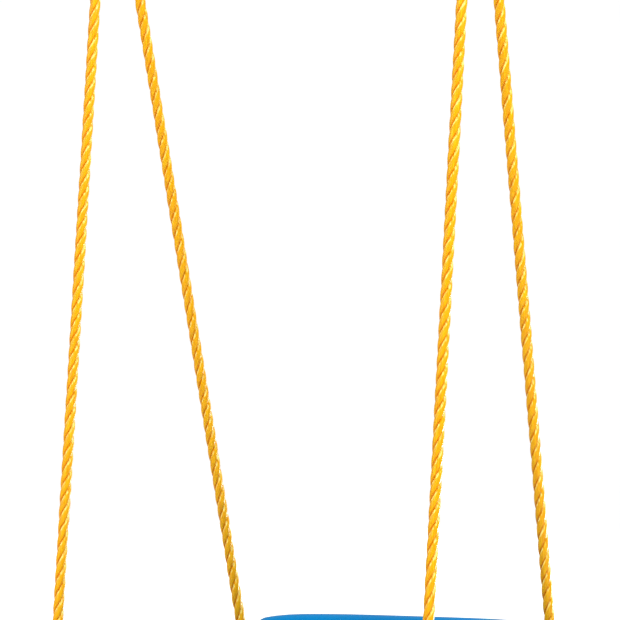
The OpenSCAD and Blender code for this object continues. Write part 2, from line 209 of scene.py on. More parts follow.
def prism(b, outline, h0, h1, origin, axis, bevel):
    """A prism on a convex outline, with small bevels at both ends."""
    P = np.asarray(outline, float)
    c = P.mean(0)

    def ring(s, h):
        Q = c + (P - c) * s
        return np.column_stack([Q, np.full(len(Q), h)])

    s = 1 - bevel / np.abs(P - c).max()
    rings = [ring(s, h0), ring(1, h0 + bevel), ring(1, h1 - bevel), ring(s, h1)]
    b.grid([place(r, origin, axis) for r in rings])


def round_poly(corners, r, n=6):
    """A closed outline with rounded corners."""
    out = []
    m = len(corners)
    for i in range(m):
        p, a, c = (np.array(corners[(i + k) % m], float) for k in (0, -1, 1))
        d1, d2 = unit(a - p), unit(c - p)
        half = math.acos(float(d1 @ d2)) / 2
        t = r / math.tan(half)
        o = p + unit(d1 + d2) * r / math.sin(half)
        s, e = p + d1 * t - o, p + d2 * t - o
        a0 = math.atan2(s[1], s[0])
        da = (math.atan2(e[1], e[0]) - a0 + math.pi) % (2 * math.pi) - math.pi
        out += circle(r, math.degrees(a0), math.degrees(a0 + da), n + 1, o)
    return out


def plate(name, loops, thick, matrix, mat, bevel):
    """A flat plate from closed loops, with rounded edges. matrix takes its middle plane into place."""
    cu = bpy.data.curves.new(name + "_outline", "CURVE")
    cu.dimensions = "2D"
    cu.fill_mode = "BOTH"
    cu.extrude = (thick / 2 - bevel) * MM
    cu.bevel_depth = bevel * MM
    cu.bevel_resolution = 2
    cu.offset = -bevel * MM
    for lp in loops:
        sp = cu.splines.new("POLY")
        sp.points.add(len(lp) - 1)
        for q, p in zip(sp.points, lp):
            q.co = (p[0] * MM, p[1] * MM, 0, 1)
        sp.use_cyclic_u = True
    tmp = bpy.data.objects.new(name + "_tmp", cu)
    scene.collection.objects.link(tmp)
    bpy.context.view_layer.update()
    me = bpy.data.meshes.new_from_object(tmp.evaluated_get(bpy.context.evaluated_depsgraph_get()))
    bpy.data.objects.remove(tmp)
    bpy.data.curves.remove(cu)
    me.name = name
    me.transform(matrix)
    me.materials.clear()
    me.materials.append(mat)
    me.shade_smooth()
    me.set_sharp_from_angle(angle=math.radians(40))
    ob = bpy.data.objects.new(name, me)
    scene.collection.objects.link(ob)
    return ob


def along(P):
    """The distance of each point from the line's start, measured along the line."""
    return np.concatenate([[0], np.cumsum(np.linalg.norm(np.diff(P, axis=0), axis=1))])


def tangents(P):
    T = np.gradient(P, axis=0)
    return T / np.linalg.norm(T, axis=1)[:, None]


def side_vectors(P, first=(0.3, 1, 0.2)):
    """Two side vectors at each point, carried along a line without twist."""
    T = tangents(P)
    n = np.array(first, float)
    N = []
    for t in T:
        n = unit(n - (n @ t) * t)
        N.append(n)
    N = np.array(N)
    return N, np.cross(T, N)


def sweep(b, P, section, first, scale):
    """A bar along P; section is a list of [along the first side vector, along the second]."""
    N, B = side_vectors(P, first)
    S = np.asarray(section, float)
    s = along(P)
    rings = [P[i] + scale[i] * (S[:, :1] * N[i] + S[:, 1:] * B[i]) for i in range(len(P))]
    b.grid(rings, vs=np.append(s, s[-1]))


def smooth_line(points, step):
    """A smooth curve through the points, with even steps."""
    P = np.asarray(points, float)
    P = np.vstack([2 * P[0] - P[1], P, 2 * P[-1] - P[-2]])
    out = []
    for i in range(1, len(P) - 2):
        p0, p1, p2, p3 = P[i - 1:i + 3]
        d = [np.sqrt(np.linalg.norm(b - a)) for a, b in ((p0, p1), (p1, p2), (p2, p3))]
        m1 = (p1 - p0) / d[0] - (p2 - p0) / (d[0] + d[1]) + (p2 - p1) / d[1]
        m2 = (p2 - p1) / d[1] - (p3 - p1) / (d[1] + d[2]) + (p3 - p2) / d[2]
        m1, m2 = m1 * d[1], m2 * d[1]
        n = max(2, int(np.linalg.norm(p2 - p1) / step * 3))
        t = np.linspace(0, 1, n, endpoint=False)[:, None]
        h = (2 * t**3 - 3 * t**2 + 1) * p1 + (t**3 - 2 * t**2 + t) * m1
        out.append(h + (-2 * t**3 + 3 * t**2) * p2 + (t**3 - t**2) * m2)
    out.append(P[-2:-1])
    C = np.concatenate(out)
    s = along(C)
    u = np.linspace(0, s[-1], max(2, int(round(s[-1] / step))) + 1)
    return np.column_stack([np.interp(u, s, C[:, k]) for k in range(3)])


# ---------------------------------------------------------------- materials


class Mat:
    """A node material on one Principled shader, with helpers for its procedural parts."""

    def __init__(self, name, **sockets):
        self.m = bpy.data.materials.new(name)
        self.m.use_nodes = True
        self.t = self.m.node_tree
        self.bsdf = self.t.nodes["Principled BSDF"]
        for k, v in sockets.items():
            self.bsdf.inputs[k.replace("_", " ")].default_value = v
        self.coord = self.t.nodes.new("ShaderNodeTexCoord")

    def node(self, kind, **values):
        n = self.t.nodes.new(kind)
        for k, v in values.items():
            if k.startswith("in_"):
                n.inputs[k[3:].replace("_", " ")].default_value = v
            else:
                setattr(n, k, v)
        return n

    def link(self, a, b):
        self.t.links.new(a, b)

    def math(self, op, a, *rest):
        n = self.node("ShaderNodeMath", operation=op)
        self.link(a, n.inputs[0])
        for i, r in enumerate(rest):
            if isinstance(r, (int, float)):
                n.inputs[i + 1].default_value = r
            else:
                self.link(r, n.inputs[i + 1])
        return n.outputs[0]

    def noise(self, scale, detail=3.0, stretch=(1, 1, 1), rough=0.5):
        mp = self.node("ShaderNodeMapping")
        mp.inputs["Scale"].default_value = stretch
        self.link(self.coord.outputs["Object"], mp.inputs["Vector"])
        n = self.node("ShaderNodeTexNoise", in_Scale=scale, in_Detail=detail, in_Roughness=rough)
        self.link(mp.outputs["Vector"], n.inputs["Vector"])
        return n.outputs["Fac"]

    def ramp(self, fac, stops):
        r = self.node("ShaderNodeValToRGB")
        while len(r.color_ramp.elements) < len(stops):
            r.color_ramp.elements.new(0.5)
        for e, (p, c) in zip(r.color_ramp.elements, stops):
            e.position = p
            e.color = (*c, 1)
        self.link(fac, r.inputs["Fac"])
        return r.outputs["Color"]

    def over(self, base, factor, color):
        """The base with a colour laid over it where the factor is high."""
        mix = self.node("ShaderNodeMix", data_type="RGBA")
        self.link(factor, mix.inputs["Factor"])
        self.link(base, mix.inputs["A"])
        mix.inputs["B"].default_value = (*color, 1)
        return mix.outputs["Result"]

    def range(self, fac, lo, hi, a=0.3, b=0.7):
        r = self.node("ShaderNodeMapRange", in_From_Min=a, in_From_Max=b, in_To_Min=lo, in_To_Max=hi)
        self.link(fac, r.inputs["Value"])
        return r.outputs["Result"]

    def bump(self, height, strength, distance, normal=None):
        n = self.node("ShaderNodeBump", in_Strength=strength, in_Distance=distance)
        self.link(height, n.inputs["Height"])
        if normal is not None:
            self.link(normal, n.inputs["Normal"])
        return n.outputs["Normal"]

    def into(self, out, socket):
        self.link(out, self.bsdf.inputs[socket])


def lin(r, g, b):
    """A colour from 0 to 255 values, as a shader takes it."""
    return tuple(((c / 255 + 0.055) / 1.055) ** 2.4 if c > 10 else c / 255 / 12.92 for c in (r, g, b))


def seat_plastic():
    """Moulded seat: even blue with faint flow marks, a fine grain and handling scuffs."""
    m = Mat("seat_blue_plastic", IOR=1.49, Specular_IOR_Level=0.1)
    blues = [(0.3, lin(0, 112, 175)), (0.5, lin(0, 119, 182)), (0.7, lin(0, 124, 188))]
    m.into(m.ramp(m.noise(7, 4), blues), "Base Color")
    scuffs = m.noise(60, 6, (1, 4, 1), 0.7)
    m.into(m.range(scuffs, 0.28, 0.37, 0.35, 0.75), "Roughness")
    grain = m.bump(m.noise(900, 2), 0.12, 0.0002)
    m.into(m.bump(m.noise(14, 2), 0.06, 0.002, grain), "Normal")
    return m.m


def rope_fibre():
    """Laid strands of fine shiny filaments; U runs across a strand and V along the rope, in millimetres."""
    m = Mat("rope_polypropylene", IOR=1.49, Specular_IOR_Level=0.25)
    uv = m.node("ShaderNodeSeparateXYZ")
    m.link(m.coord.outputs["UV"], uv.inputs["Vector"])
    # filaments cross a strand by this much for each millimetre of rope
    lean = 0.739
    across = m.math("MULTIPLY_ADD", uv.outputs["Y"], lean, uv.outputs["X"])

    def fibres(fine, long, detail):
        v = m.node("ShaderNodeCombineXYZ")
        m.link(m.math("MULTIPLY", across, fine), v.inputs["X"])
        m.link(m.math("MULTIPLY", uv.outputs["Y"], long), v.inputs["Y"])
        n = m.node("ShaderNodeTexNoise", in_Scale=1.0, in_Detail=detail, in_Roughness=0.6)
        m.link(v.outputs["Vector"], n.inputs["Vector"])
        return n.outputs["Fac"]

    yarn, hair = fibres(1.0, 0.03, 2.0), fibres(4.0, 0.09, 3.0)
    # the hairs count for less than the yarns, and the sum is brought back to the 0 to 1 of a ramp
    hair_share = 0.6
    mixed = m.math("MULTIPLY_ADD", hair, hair_share, yarn)
    yellows = [(0.34, lin(228, 145, 0)), (0.46, lin(239, 166, 0)),
               (0.56, lin(244, 181, 0)), (0.68, lin(249, 210, 18))]
    tone = m.ramp(m.math("MULTIPLY", mixed, 1 / (1 + hair_share)), yellows)
    # painted shade: a strand is browner under its lower edge, where it turns away from the light above, and a
    # painted highlight of pale filaments comes and goes on its upper edge, where light catches it
    u = m.math("MULTIPLY", m.math("FRACT", m.math("DIVIDE", uv.outputs["X"], STRAND_U)), STRAND_U)
    # painted shade: the tone turns brown towards the strand's lower edge
    tone = m.over(tone, m.range(u, 0.75, 0, 0.5, 2.6), lin(209, 108, 0))
    # painted highlight: pale glints that wander along the strand's upper edge, in patches
    wander = m.math("MULTIPLY_ADD", fibres(0.25, 0.06, 2.0), 2.4, u)
    edge = m.range(wander, 0, 1, LOBE_L - 1.9, LOBE_L - 0.9)
    glint_patches = m.range(fibres(0.4, 0.09, 3.0), 0, 1, 0.44, 0.58)
    tone = m.over(tone, m.math("MULTIPLY", edge, glint_patches), lin(255, 232, 122))
    m.into(tone, "Base Color")
    m.into(m.range(hair, 0.24, 0.42), "Roughness")
    m.into(m.bump(mixed, 0.55, 0.0004), "Normal")
    return m.m


def plain(name, tone_noise, tones, gloss_noise, gloss, grain_noise, grain, **sockets):
    """A material with slow changes of tone, patchy gloss and a fine grain, each from a noise's settings."""
    m = Mat(name, **sockets)
    m.into(m.ramp(m.noise(*tone_noise), tones), "Base Color")
    m.into(m.range(m.noise(*gloss_noise), *gloss), "Roughness")
    m.into(m.bump(m.noise(*grain_noise), grain, 0.0002), "Normal")
    return m.m


MAT = {
    "seat": seat_plastic(),
    "rope": rope_fibre(),
    "powder": plain("black_powder_coat", (20, 4), [(0.3, (0.018, 0.018, 0.02)), (0.7, (0.03, 0.03, 0.032))],
                    (500, 2), (0.38, 0.52), (1000, 2), 0.2, IOR=1.5),
    "zinc": plain("zinc_plate", (45, 5),
                  [(0.3, (0.42, 0.42, 0.43)), (0.55, (0.52, 0.52, 0.52)), (0.75, (0.58, 0.57, 0.54))],
                  (160, 5), (0.26, 0.44), (900, 2), 0.15, Metallic=1.0),
    "stainless": plain("polished_stainless", (30, 3),
                       [(0.35, (0.52, 0.52, 0.53)), (0.65, (0.62, 0.62, 0.62))],
                       (220, 6, (1, 1, 1), 0.7), (0.10, 0.24), (600, 3), 0.06, Metallic=1.0),
    "alloy": plain("crimped_aluminium", (60, 4), [(0.3, (0.50, 0.50, 0.51)), (0.7, (0.64, 0.64, 0.64))],
                   (300, 4, (1, 1, 0.15)), (0.3, 0.48), (700, 3, (1, 1, 0.1)), 0.2, Metallic=1.0),
    "nylon": plain("black_nylon", (40, 3), [(0.3, (0.012, 0.012, 0.013)), (0.7, (0.022, 0.022, 0.024))],
                   (260, 4), (0.4, 0.56), (1100, 2), 0.15, IOR=1.53),
    "pale": plain("natural_nylon", (40, 3), [(0.3, (0.70, 0.68, 0.60)), (0.7, (0.80, 0.78, 0.72))],
                  (260, 4), (0.35, 0.5), (1100, 2), 0.1, IOR=1.53),
}


def finish_piece(ob, body, key, *nodes, slot=None):
    """Rides a piece on its body in place of its CAD nodes."""
    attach(ob, body)
    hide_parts(*nodes)
    return ob


def keep(b, name, key, body, *nodes, sharp=30):
    """A finished piece from a Build."""
    return finish_piece(b.piece(name, MAT[key], sharp), body, key, *nodes)


# ---------------------------------------------------------------- camera: the photograph's, first

CAMERA_AT = (1.89524, -2.95337, -0.66718)
CAMERA_AZ, CAMERA_PITCH, CAMERA_ROLL = 32.5274, -0.062, -1.5591
LENS, SENSOR = 192.4078, 36


def make_camera():
    az, pitch, roll = (math.radians(a) for a in (CAMERA_AZ, CAMERA_PITCH, CAMERA_ROLL))
    ahead = np.array([-math.sin(az) * math.cos(pitch), math.cos(az) * math.cos(pitch), math.sin(pitch)])
    level = unit(np.cross(ahead, (0, 0, 1)))
    upright = np.cross(level, ahead)
    right = math.cos(roll) * level + math.sin(roll) * upright
    up = -math.sin(roll) * level + math.cos(roll) * upright
    data = bpy.data.cameras.new("camera")
    data.sensor_fit = "AUTO"
    data.sensor_width = SENSOR
    data.lens = LENS
    data.clip_end = 50
    cam = bpy.data.objects.new("camera", data)
    scene.collection.objects.link(cam)
    cam.matrix_world = pose(right, up, -ahead, CAMERA_AT)
    scene.camera = cam


def pose(x, y, z, at):
    """A matrix from three axes and a place."""
    m = Matrix.Identity(4)
    for i in range(3):
        m[i][0], m[i][1], m[i][2], m[i][3] = x[i], y[i], z[i], at[i]
    return m


make_camera()

# ---------------------------------------------------------------- seat, its shape as in the CAD source


def ease(t):
    u = np.clip(t, 0, 1)
    return u**3 * (10 - 15 * u + 6 * u * u)


def from_front(az):
    """The same direction between -90, the front, and 270."""
    return (az + 90) % 360 - 90


def fold(az):
    """The mirrored direction on the right-hand side, between -90 and 90."""
    az = from_front(az)
    return 180 - az if az > 90 else az


def near_hole(az):
    h = REAR_AZ if fold(az) > 0 else FRONT_AZ
    return 1 - ease((abs(fold(az) - h) - SWELL_HALF) / (SWELL_END - SWELL_HALF))


def free_crest(az):
    return SIDE_Z + RISE * ease((fold(az) - SIDE_START) / (BACK_START - SIDE_START))


def land_z(end):
    """The height of the flat where a rope enters the rim."""
    return BACK_Z - REAR_LAND if end > 0 else SIDE_Z


def crest_z(az):
    free = free_crest(az)
    return free + (land_z(fold(az)) - free) * near_hole(az)


def crest_r(az):
    off = min(1, abs(from_front(az) - 90) / FLAT_HALF)
    return RIM_R - FLAT * math.cos(math.radians(90 * off)) ** 2


def wall_line(az, dish_steps=34, roll_steps=20):
    """The middle of the wall in one direction, from the drain over the rolled edge to the skirt's foot."""
    lug = SWELL * near_hole(az)
    rc, zc, lift = crest_r(az), crest_z(az) - MID, crest_z(az) - free_crest(az)
    ri, a = rc - MID, MID + lug
    ro = rc + a
    h = free_crest(az) - MID - FLOOR_Z
    k = DISH_POWER + math.log(h / (DEPTH - MID)) / math.log((RIM_R - MID) / DISH_REF)
    P = []
    for t in np.linspace(0, 1, dish_steps):
        r = DRAIN_R + (ri - DRAIN_R) * t
        P.append((r - lug * t**LUG_POWER, FLOOR_Z + h * (r / ri) ** k + lift * t**LUG_POWER))
    P += [(rc + a * math.cos(t), zc + MID * math.sin(t)) for t in np.linspace(math.pi, 0, roll_steps + 1)[1:]]
    P += [(ro + SKIRT_HIGH * t, zc - SKIRT / 2 * t) for t in (0.25, 0.5, 0.75, 1)]
    P += [(ro + SKIRT_HIGH + SKIRT_LOW * t, zc - SKIRT / 2 * (1 + t)) for t in (0.33, 0.66, 0.95)]
    return np.array(P)


def wall_section(az):
    """The closed outline of the wall in one direction, with rounded edges at the drain and at the skirt."""
    P = wall_line(az)
    D = tangents(P)
    N = np.column_stack([-D[:, 1], D[:, 0]])
    w = WALL / 2

    def nose(p, d, n):
        turn = np.linspace(0.35, math.pi - 0.35, 6)
        return [p + w * (math.sin(t) * d * 0.8 + math.cos(t) * n) for t in turn]

    up = list(P + N * w)
    low = list((P - N * w)[::-1])
    return up + nose(P[-1], D[-1], N[-1]) + low + nose(P[0], -D[0], -N[0])


def hole_xy(side, end):
    a = math.radians(REAR_AZ if end > 0 else FRONT_AZ)
    return np.array([side * RIM_R * math.cos(a), RIM_R * math.sin(a) - AHEAD])


def seat_directions(step=3.0, fine=0.75, reach=7.5, least=0.4):
    """Directions round the seat, closer together near the rope holes and never nearer than the least."""
    half = set(np.arange(-90, 90.1, step))
    for h in (REAR_AZ, FRONT_AZ):
        half |= set(np.arange(h - reach, h + reach + 0.1, fine))
    kept = [-90.0]
    for a in sorted(half):
        if a - kept[-1] > least:
            kept.append(a)
    kept[-1] = 90.0
    return kept + [180 - a for a in kept[-2:0:-1]]


def cutter(r, h0, h1, x, y, n=40):
    b = Build()
    lathe(b, [(r, h0), (r, h1)], (x, y, 0), n=n)
    return b.piece("cut", MAT["seat"])


def boolean(ob, other, op):
    mod = ob.modifiers.new("b", "BOOLEAN")
    mod.operation, mod.object, mod.solver = op, other, "EXACT"
    dg = bpy.context.evaluated_depsgraph_get()
    me = bpy.data.meshes.new_from_object(ob.evaluated_get(dg))
    ob.modifiers.clear()
    old, ob.data = ob.data, me
    bpy.data.meshes.remove(old)
    bpy.data.objects.remove(other)


def bore_boss(shell, side, end):
    """Adds a boss under the rim and bores it for the rope's bush."""
    x, y = hole_xy(side, end)
    z = land_z(end)
    low = z - BOSS_L
    b = Build()
    profile = [(BOSS_R - 1, low), (BOSS_R - 0.3, low + 0.3), (BOSS_R, low + 1), (BOSS_R, z - 2.2)]
    lathe(b, profile, (x, y, 0), n=56)
    boolean(shell, b.piece("boss", MAT["seat"]), "UNION")
    boolean(shell, cutter(BOSS_HOLE_R, low - 20, z + 20, x, y, 56), "DIFFERENCE")


def seat():
    """The one-piece moulding: swept sections, four bored bosses and six small drains round the middle one."""
    rings = []
    for a in seat_directions():
        c, s = math.cos(math.radians(a)), math.sin(math.radians(a))
        rings.append([[r * c, r * s - AHEAD, z] for r, z in wall_section(a)])
    b = Build()
    b.grid(rings, loop=True)
    b.f = [f[::-1] for f in b.f]
    shell = b.piece("seat_shell_moulding", MAT["seat"], 0)
    for side in SIDES.values():
        for end in ENDS.values():
            bore_boss(shell, side, end)
    for x, y in circle(DRAIN_RING, n=6, c=(0, -AHEAD), last=False):
        boolean(shell, cutter(SMALL_DRAIN_R, FLOOR_Z - 20, FLOOR_Z + 30, x, y), "DIFFERENCE")
    shell.data.shade_smooth()
    shell.data.set_sharp_from_angle(angle=math.radians(38))
    finish_piece(shell, "seat", "seat", "seat_shell")


seat()


def rope_bush(name, node, at):
    """A flanged lining for a boss, with a rounded mouth above the rim and a flange below the boss."""
    low = -BOSS_L - FLANGE
    outside = [(8.7, low), (13.4, low), (14, low + 0.6), (14, -BOSS_L - 0.6), (13.4, -BOSS_L), (10, -BOSS_L)]
    mouth_lip = [(10, 1), (9.9, 1.5), (9.5, 1.9), (9, 2), (8.4, 1.9), (7.8, 1.5), (7.35, 0.9), (7.2, 0.2)]
    foot = [(7.2, low + 1.5), (7.5, low + 0.7), (8, low + 0.2)]
    b = Build()
    lathe(b, outside + mouth_lip + foot, at, closed=True)
    keep(b, name, "nylon", "seat", node, sharp=35)


def knot_washer(name, node, at):
    """A pressed washer under the bush, with a rounded outer edge."""
    low = -BOSS_L - FLANGE - GAP - WASHER_T
    edge = [(13.6, low), (14, low + 0.4), (14, low + 1.7), (13.7, low + WASHER_T)]
    b = Build()
    lathe(b, [(6.9, low)] + edge + [(6.9, low + WASHER_T)], at, closed=True)
    keep(b, name, "zinc", "seat", node, sharp=35)


for sn, s, en, e in EACH_ROPE:
    top = (*hole_xy(s, e), land_z(e))
    rope_bush(f"rope_bush_{en}_{sn}_turned", f"rope_bush_{en}_{sn}", top)
    knot_washer(f"knot_washer_{en}_{sn}_pressed", f"knot_washer_{en}_{sn}", top)

# ---------------------------------------------------------------- ropes


def knot_top(end):
    return land_z(end) - BOSS_L - FLANGE - WASHER_T - 2 * GAP


def mouth(side, end):
    return np.array([*hole_xy(side, end), land_z(end) + 6])


def rope_top(side, end):
    return np.array([side * (SPACING / 2 + LEG), end * ROPE_GAP / 2, BAR_Z])


def rope_dir(side, end):
    return unit(mouth(side, end) - rope_top(side, end))


def out_dir(side, end):
    """Across the rope, away from the seat's middle, in the plane of its eye."""
    d = rope_dir(side, end)
    return unit(np.array([side, 0, 0]) - side * d[0] * d)


def eye_at(side, end, w, s):
    """A point of the eye's plane, w out from its middle line and s down from the ring's bar."""
    return rope_top(side, end) + (w - LEG) * out_dir(side, end) + s * rope_dir(side, end)


def eye_turn(side, end, n=12):
    """The rope's way round its eye: up the inner side, over the top and down the outer side."""
    sides = EYE_SIDE[:-1]
    P = [(-w, s) for w, s in sides[::-1]]
    P += [(-EYE_R * math.cos(a), EYE_S - EYE_R * math.sin(a)) for a in np.linspace(0, math.pi, n + 1)]
    return [eye_at(side, end, w, s) for w, s in P + sides]


def rope_route(side, end):
    """From the short end through the sleeve, round the eye, back through the sleeve and down to the knot."""
    low = SLEEVE_S + SLEEVE_L + 3
    P = [eye_at(side, end, -LEG, s) for s in (low, low - 12, SLEEVE_S + 8, SLEEVE_S)]
    P += eye_turn(side, end) + [eye_at(side, end, LEG, SLEEVE_S)]
    start, stop = eye_at(side, end, LEG, low), mouth(side, end)
    P += [start + f * (stop - start) for f in (0, 0.12, 0.28, 0.44, 0.6, 0.76, 0.9, 0.965)]
    h, z = hole_xy(side, end), land_z(end)
    return P + [stop, [*h, z - 6], [*h, z - 22], [*h, knot_top(end)]]


def laid_section():
    """Three strands in one outline, with V grooves, and each point's distance along its strand."""
    pts, us = [], []
    end = math.radians(LOBE_END)
    groove_r = LOBE_AT / 2 + math.sqrt(LOBE_R**2 - 0.75 * LOBE_AT**2) - GROOVE
    for k in range(3):
        turn = 2 * math.pi * k / 3
        for t in np.linspace(-end, end, LOBE_N):
            x, y = LOBE_AT + LOBE_R * math.cos(t), LOBE_R * math.sin(t)
            pts.append((x * math.cos(turn) - y * math.sin(turn), x * math.sin(turn) + y * math.cos(turn)))
            us.append((t + end) * LOBE_R + GROOVE_SIDE)
        g = turn + math.pi / 3
        pts.append((groove_r * math.cos(g), groove_r * math.sin(g)))
        us.append(0.0)
    return np.array(pts), us


SECTION, SECTION_U = laid_section()


def laid_rope(b, line, phase, scale):
    """Three strands laid right-handed about the line, in one closed skin."""
    N, B = side_vectors(line)
    s = along(line)
    # the lay and the girth wander a little, as in any made rope
    turn = 2 * math.pi * s / LAY + phase + 0.20 * np.sin(s / 61 + phase) + 0.12 * np.sin(s / 23.7 + 2 * phase)
    girth = scale * (0.988 + 0.010 * np.sin(s / 37 + phase) + 0.008 * np.sin(s / 13.3 + 3 * phase))
    X = np.cos(turn)[:, None] * N + np.sin(turn)[:, None] * B
    Y = -np.sin(turn)[:, None] * N + np.cos(turn)[:, None] * B
    outline = SECTION[None, :, :1] * X[:, None, :] + SECTION[None, :, 1:] * Y[:, None, :]
    R = line[:, None, :] + girth[:, None, None] * outline
    m, k = R.shape[:2]
    faces, uv = [], []
    for j in range(k):
        j2 = (j + 1) % k
        # a groove's point starts the next strand and ends this one
        strand, at_groove = divmod(j, LOBE_N + 1)
        from_groove = at_groove == LOBE_N
        u0 = 0.0 if from_groove else SECTION_U[j]
        u1 = LOBE_L if j2 % (LOBE_N + 1) == LOBE_N else SECTION_U[j2]
        off = STRAND_U * (j2 // (LOBE_N + 1) if from_groove else strand)
        for i in range(m - 1):
            faces.append([i * k + j, i * k + j2, (i + 1) * k + j2, (i + 1) * k + j])
            uv += [(u0 + off, s[i]), (u1 + off, s[i]), (u1 + off, s[i + 1]), (u0 + off, s[i + 1])]
    faces += [list(range(k))[::-1], [(m - 1) * k + j for j in range(k)]]
    uv += [(5.0, 0.0)] * (2 * k)
    b.add(R.reshape(-1, 3), faces, uv)


def rope(sn, s, en, e):
    """A whole rope in one laid skin, from its short end round the eye and down to the knot, in place of its
    CAD node.
    """
    line = smooth_line(rope_route(s, e), 2.2)
    flare = np.ones(len(line))
    flare[:2] = 0.86, 0.97
    b = Build()
    laid_rope(b, line, 1.3 * s + 0.7 * e, flare)
    ob = b.piece(f"rope_{en}_{sn}_laid", MAT["rope"], 30)
    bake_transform(ob)
    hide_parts(f"rope_{en}_{sn}")
    return ob, line


ROPES = [rope(*key) for key in EACH_ROPE]


def knot_line(side, end):
    """A double overhand stopper: down, twice round itself on the way up, and out at the bottom."""
    P = [(0, 0, 0), (0, 0, -3), (0.8, 0, -8), (1.5, 0.5, -15), (2.0, 1.5, -23), (1.5, 4.0, -29.5)]
    coil_r, coil_low, coil_rise, coil_start, coil_turn = 11.4, -31.5, 22.5, 150, 690
    for t in np.linspace(0, 1, 19):
        a = math.radians(coil_start + coil_turn * t)
        P.append((coil_r * math.cos(a), coil_r * math.sin(a), coil_low + coil_rise * t))
    P += [(6.5, -8.5, -7), (-1.0, -5.8, -11), (-3.5, -3.4, -20), (-3.2, -2.2, -31)]
    P += [(-2.6, -1.6, -42), (-1.6, -0.8, -58), (-1.0, -0.4, -66)]
    hx, hy = hole_xy(side, end)
    return smooth_line([(hx + side * x, hy + y, knot_top(end) + z) for x, y, z in P], 1.8)


def knot(sn, s, en, e):
    line = knot_line(s, e)
    flare = np.full(len(line), 0.9)
    flare[-2:] = 0.84, 0.72
    b = Build()
    laid_rope(b, line, 0.4, flare)
    return keep(b, f"knot_{en}_{sn}_tied", "rope", "seat", f"knot_{en}_{sn}")


KNOTS = [knot(*key) for key in EACH_ROPE]

# ---------------------------------------------------------------- thimbles and sleeves


def gutter_section():
    """A thimble's section: a gutter that holds the rope, with rounded lips. X points at the gutter's back."""
    inner = ROPE_R + THIMBLE_GAP
    mid = inner + THIMBLE_T / 2
    lips = [(math.radians(88), 0.8), (math.radians(91), 1.57), (math.radians(88), 2.3)]
    upper = []
    for t, a in lips:
        r = mid + THIMBLE_T / 2 * math.cos(a)
        upper.append((r * math.cos(t), r * math.sin(t)))
    lower = [(x, -y) for x, y in upper[::-1]]
    return circle(inner + THIMBLE_T, -84, 84, 13) + upper + circle(inner, 84, -84, 13) + lower


GUTTER = gutter_section()


def thimble(sn, s, en, e):
    line = smooth_line(eye_turn(s, e), 2.0)
    flat = unit(np.cross(out_dir(s, e), rope_dir(s, e)))
    rings = [[p + x * np.cross(flat, t) + y * flat for x, y in GUTTER] for p, t in zip(line, tangents(line))]
    b = Build()
    b.grid(rings)
    keep(b, f"thimble_{en}_{sn}_formed", "stainless", "ropes_" + sn, f"thimble_{en}_{sn}", sharp=40)


def sleeve_rows(bands=3, first=5.0, pitch=8.2, wide=4.9, deep=0.45):
    """Heights along a sleeve and how far its surface lies in there: rounded ends and pressed bands."""
    rows = [(0, 0.55), (0.35, 0.15), (0.9, 0)]
    for k in range(bands):
        z = first + k * pitch
        rows += [(z, 0), (z + 0.7, deep), (z + wide - 0.7, deep), (z + wide, 0)]
    return rows + [(SLEEVE_L - 0.9, 0), (SLEEVE_L - 0.35, 0.15), (SLEEVE_L, 0.55)]


def sleeve(sn, s, en, e, wall=3.0, bore=0.3):
    """An oval tube crimped round a rope's two parts."""
    up, out = -rope_dir(s, e), out_dir(s, e)
    across = np.cross(up, out)
    foot = eye_at(s, e, 0, SLEEVE_S + SLEEVE_L)

    def oval(r, z):
        pts = circle(r, -90, 90, 15, (LEG, 0)) + circle(r, 90, 270, 15, (-LEG, 0))
        return [foot + x * out + y * across + z * up for x, y in pts]

    rings = [oval(ROPE_R + wall - off, z) for z, off in sleeve_rows()]
    rings += [oval(ROPE_R + bore, z) for z in (SLEEVE_L, 0)]
    b = Build()
    b.grid(rings, loop=True)
    keep(b, f"rope_sleeve_{en}_{sn}_crimped", "alloy", "ropes_" + sn, f"rope_sleeve_{en}_{sn}")


for key in EACH_ROPE:
    thimble(*key)
    sleeve(*key)

# ---------------------------------------------------------------- hook, gate and ring


def snap_hook(sn, s, ox):
    """One bent wire, from the nose over the top and round the bottom, and the tongue that holds the gate."""
    P = [(HOOK_R, BOW_TOP - 6)] + circle(HOOK_R, 0, 180, 16, (0, BOW_TOP))
    P += circle(HOOK_R, 180, 360, 16, (0, BOW_LOW)) + [(HOOK_R, BOW_LOW + 6)]
    line = smooth_line([(ox - s * x, 0, z) for x, z in P], 1.6)
    ends = np.ones(len(line))
    ends[:2] = 0.86, 0.98
    ends[-2:] = 0.98, 0.86
    b = Build()
    sweep(b, line, circle(WIRE / 2, n=24, last=False), (0, 1, 0), ends)
    foot = BOW_LOW + 4
    tongue = [(-TONGUE_R, foot)] + circle(TONGUE_R, 180, 0, 15, (0, RIVET_Z)) + [(TONGUE_R, foot)]
    prism(b, tongue, -1.5, 1.5, (ox - s * HOOK_R, 0, 0), (0, -1, 0), 0.3)
    keep(b, f"snap_hook_{sn}_bent", "stainless", "ropes_" + sn, "snap_hook_" + sn, sharp=40)


def snap_gate(sn, x0):
    """A round bar with a rounded top, forked over the tongue."""
    b = Build()
    low, top = RIVET_Z + 6.2, BOW_TOP - 6.5
    bar = [(0.01, low), (3.75, low), (3.75, top - 0.7), (3.5, top - 0.2), (3.0, top), (0.01, top)]
    lathe(b, bar, (x0, 0, 0), n=32)
    prong = circle(TONGUE_R, 180, 360, 15) + [(3.6, 7.2), (-3.6, 7.2)]
    near, far = 1.75, 3.4
    for h0, h1 in ((near, far), (-far, -near)):
        prism(b, prong, h0, h1, (x0, 0, RIVET_Z), (0, -1, 0), 0.25)
    nodes = ("snap_gate_" + sn, "gate_spring_" + sn)
    keep(b, f"snap_gate_{sn}_bar", "stainless", "gate_" + sn, *nodes, sharp=40)


